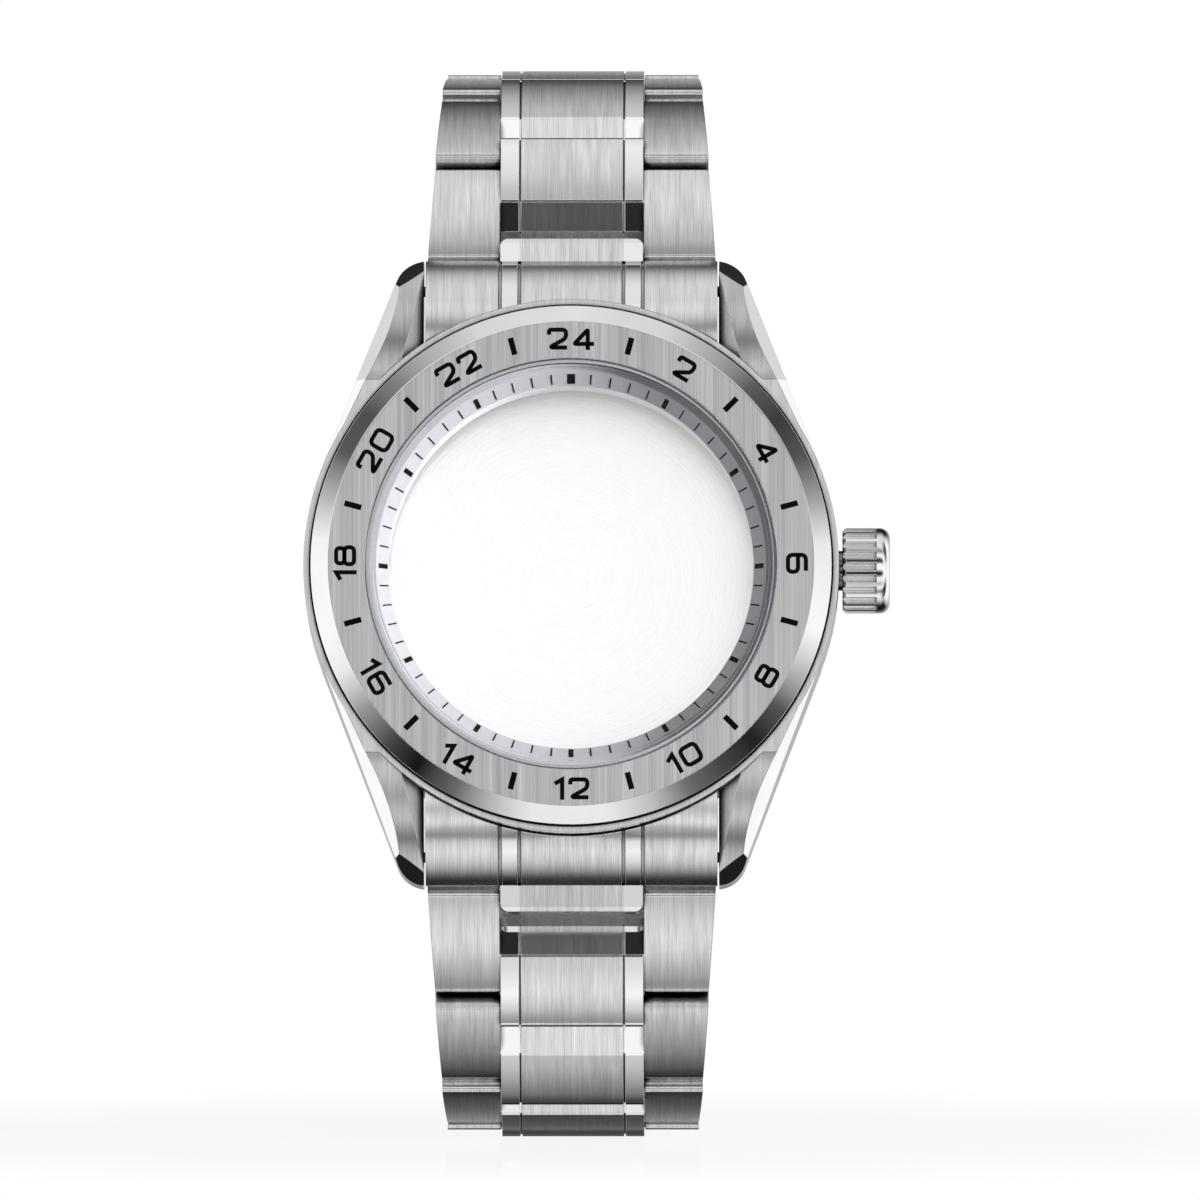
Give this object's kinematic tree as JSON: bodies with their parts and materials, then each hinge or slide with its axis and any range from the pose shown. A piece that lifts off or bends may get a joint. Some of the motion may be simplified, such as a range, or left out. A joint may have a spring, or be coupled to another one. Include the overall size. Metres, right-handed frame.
{
  "type": "empty watch case with bracelet",
  "caption": "Empty steel watch case with crystal, 24-hour bezel, chapter ring, crown and screw caseback, closed on a link bracelet with a folding clasp.",
  "frame": {"origin": "on the case axis at the height of the crown stem, inside the movement ring's bore", "axes": "+Z to 12 o'clock, +X to the crown at 3 o'clock, -Y out through the crystal, +Y out through the caseback to the wrist"},
  "size_m": [0.0438, 0.057, 0.0806],
  "materials": {
    "brushed_steel": "brushed",
    "polished_steel": "polished",
    "satin_silver": "satin",
    "crystal_glass": "polished",
    "nylon": "matte",
    "white_plastic": "matte",
    "printed_black": "satin",
    "black_rubber": "matte"
  },
  "bodies": {
    "case": {"mid_case": "brushed_steel", "bezel": "brushed_steel", "crystal": "crystal_glass", "crystal_gasket": "nylon", "chapter_ring": "satin_silver", "movement_ring": "white_plastic", "crown_tube": "polished_steel", "end_link_12": "brushed_steel", "end_link_6": "brushed_steel", "spring_bar_12": "polished_steel", "spring_bar_6": "polished_steel"},
    "crown_seal": {"crown_gasket": "black_rubber"},
    "crown": {"crown": "polished_steel"},
    "caseback_seal": {"caseback_gasket": "black_rubber"},
    "caseback": {"caseback": "brushed_steel"},
    "link_12_1": {"link_12_1": "brushed_steel", "pin_12_1": "polished_steel"},
    "link_12_2": {"link_12_2": "brushed_steel", "pin_12_2": "polished_steel"},
    "link_12_3": {"link_12_3": "brushed_steel", "pin_12_3": "polished_steel"},
    "link_12_4": {"link_12_4": "brushed_steel", "pin_12_4": "polished_steel"},
    "link_12_5": {"link_12_5": "brushed_steel", "pin_12_5": "polished_steel"},
    "link_12_6": {"link_12_6": "brushed_steel", "pin_12_6": "polished_steel"},
    "link_12_7": {"link_12_7": "brushed_steel", "pin_12_7": "polished_steel"},
    "link_6_1": {"link_6_1": "brushed_steel", "pin_6_1": "polished_steel"},
    "link_6_2": {"link_6_2": "brushed_steel", "pin_6_2": "polished_steel"},
    "link_6_3": {"link_6_3": "brushed_steel", "pin_6_3": "polished_steel"},
    "link_6_4": {"link_6_4": "brushed_steel", "pin_6_4": "polished_steel"},
    "link_6_5": {"link_6_5": "brushed_steel", "pin_6_5": "polished_steel"},
    "link_6_6": {"link_6_6": "brushed_steel", "pin_6_6": "polished_steel"},
    "link_6_7": {"link_6_7": "brushed_steel", "pin_6_7": "polished_steel"},
    "inner_blade": {"inner_blade": "brushed_steel", "clasp_pin": "polished_steel", "blade_pin": "polished_steel"},
    "middle_blade": {"middle_blade": "brushed_steel"},
    "clasp_cover": {"clasp_cover": "brushed_steel", "cover_pin": "polished_steel", "end_pin": "polished_steel"},
    "button_right": {"button_right": "polished_steel"},
    "button_left": {"button_left": "polished_steel"}
  },
  "joints": [
    {"name": "crown_pull", "type": "slide", "parent": "case", "child": "crown_seal", "axis": [1, 0, 0], "range_m": [0, 0.0012]},
    {"name": "crown_turn", "type": "hinge", "parent": "crown_seal", "child": "crown", "pos_m": [0.0215, 0, 0], "axis": [1, 0, 0], "continuous": true},
    {"name": "caseback_lift", "type": "slide", "parent": "case", "child": "caseback_seal", "axis": [0, 1, 0], "range_m": [0, 0.02]},
    {"name": "caseback_turn", "type": "hinge", "parent": "caseback_seal", "child": "caseback", "pos_m": [0, 0.0054, 0], "axis": [0, 1, 0], "continuous": true},
    {"name": "hinge_12_1", "type": "hinge", "parent": "case", "child": "link_12_1", "pos_m": [0, 0.005, 0.024], "axis": [1, 0, 0], "range_deg": [0, 27]},
    {"name": "hinge_12_2", "type": "hinge", "parent": "link_12_1", "child": "link_12_2", "pos_m": [0, 0.00917, 0.03152], "axis": [1, 0, 0], "range_deg": [0, 27.5]},
    {"name": "hinge_12_3", "type": "hinge", "parent": "link_12_2", "child": "link_12_3", "pos_m": [0, 0.01608, 0.03664], "axis": [1, 0, 0], "range_deg": [0, 27.5]},
    {"name": "hinge_12_4", "type": "hinge", "parent": "link_12_3", "child": "link_12_4", "pos_m": [0, 0.02449, 0.03843], "axis": [1, 0, 0], "range_deg": [0, 24]},
    {"name": "hinge_12_5", "type": "hinge", "parent": "link_12_4", "child": "link_12_5", "pos_m": [0, 0.03299, 0.03708], "axis": [1, 0, 0], "range_deg": [0, 24]},
    {"name": "hinge_12_6", "type": "hinge", "parent": "link_12_5", "child": "link_12_6", "pos_m": [0, 0.04044, 0.03278], "axis": [1, 0, 0], "range_deg": [0, 24]},
    {"name": "hinge_12_7", "type": "hinge", "parent": "link_12_6", "child": "link_12_7", "pos_m": [0, 0.04585, 0.0261], "axis": [1, 0, 0], "range_deg": [0, 24]},
    {"name": "hinge_6_1", "type": "hinge", "parent": "case", "child": "link_6_1", "pos_m": [0, 0.005, -0.024], "axis": [-1, 0, 0], "range_deg": [0, 27]},
    {"name": "hinge_6_2", "type": "hinge", "parent": "link_6_1", "child": "link_6_2", "pos_m": [0, 0.00917, -0.03152], "axis": [-1, 0, 0], "range_deg": [0, 27.5]},
    {"name": "hinge_6_3", "type": "hinge", "parent": "link_6_2", "child": "link_6_3", "pos_m": [0, 0.01608, -0.03664], "axis": [-1, 0, 0], "range_deg": [0, 27.5]},
    {"name": "hinge_6_4", "type": "hinge", "parent": "link_6_3", "child": "link_6_4", "pos_m": [0, 0.02449, -0.03843], "axis": [-1, 0, 0], "range_deg": [0, 24]},
    {"name": "hinge_6_5", "type": "hinge", "parent": "link_6_4", "child": "link_6_5", "pos_m": [0, 0.03299, -0.03708], "axis": [-1, 0, 0], "range_deg": [0, 24]},
    {"name": "hinge_6_6", "type": "hinge", "parent": "link_6_5", "child": "link_6_6", "pos_m": [0, 0.04044, -0.03278], "axis": [-1, 0, 0], "range_deg": [0, 24]},
    {"name": "hinge_6_7", "type": "hinge", "parent": "link_6_6", "child": "link_6_7", "pos_m": [0, 0.04585, -0.0261], "axis": [-1, 0, 0], "range_deg": [0, 24]},
    {"name": "clasp_hinge", "type": "hinge", "parent": "link_12_7", "child": "inner_blade", "pos_m": [0, 0.04851, 0.01792], "axis": [1, 0, 0], "range_deg": [0, 21]},
    {"name": "blade_fold", "type": "hinge", "parent": "inner_blade", "child": "middle_blade", "pos_m": [0, 0.04806, -0.00742], "axis": [-1, 0, 0], "range_deg": [0, 158]},
    {"name": "cover_lift", "type": "hinge", "parent": "middle_blade", "child": "clasp_cover", "pos_m": [0, 0.04916, 0.01312], "axis": [1, 0, 0], "range_deg": [0, 158]},
    {"name": "button_right_press", "type": "slide", "parent": "clasp_cover", "child": "button_right", "axis": [-1, 0, 0], "range_m": [0, 0.0006], "stiffness_N_per_m": 300, "springref_m": -0.001},
    {"name": "button_left_press", "type": "slide", "parent": "clasp_cover", "child": "button_left", "axis": [1, 0, 0], "range_m": [0, 0.0006], "stiffness_N_per_m": 300, "springref_m": -0.001}
  ],
  "couplings": [
    {"joint": "cover_lift", "follows": "blade_fold", "ratio": 1}
  ]
}
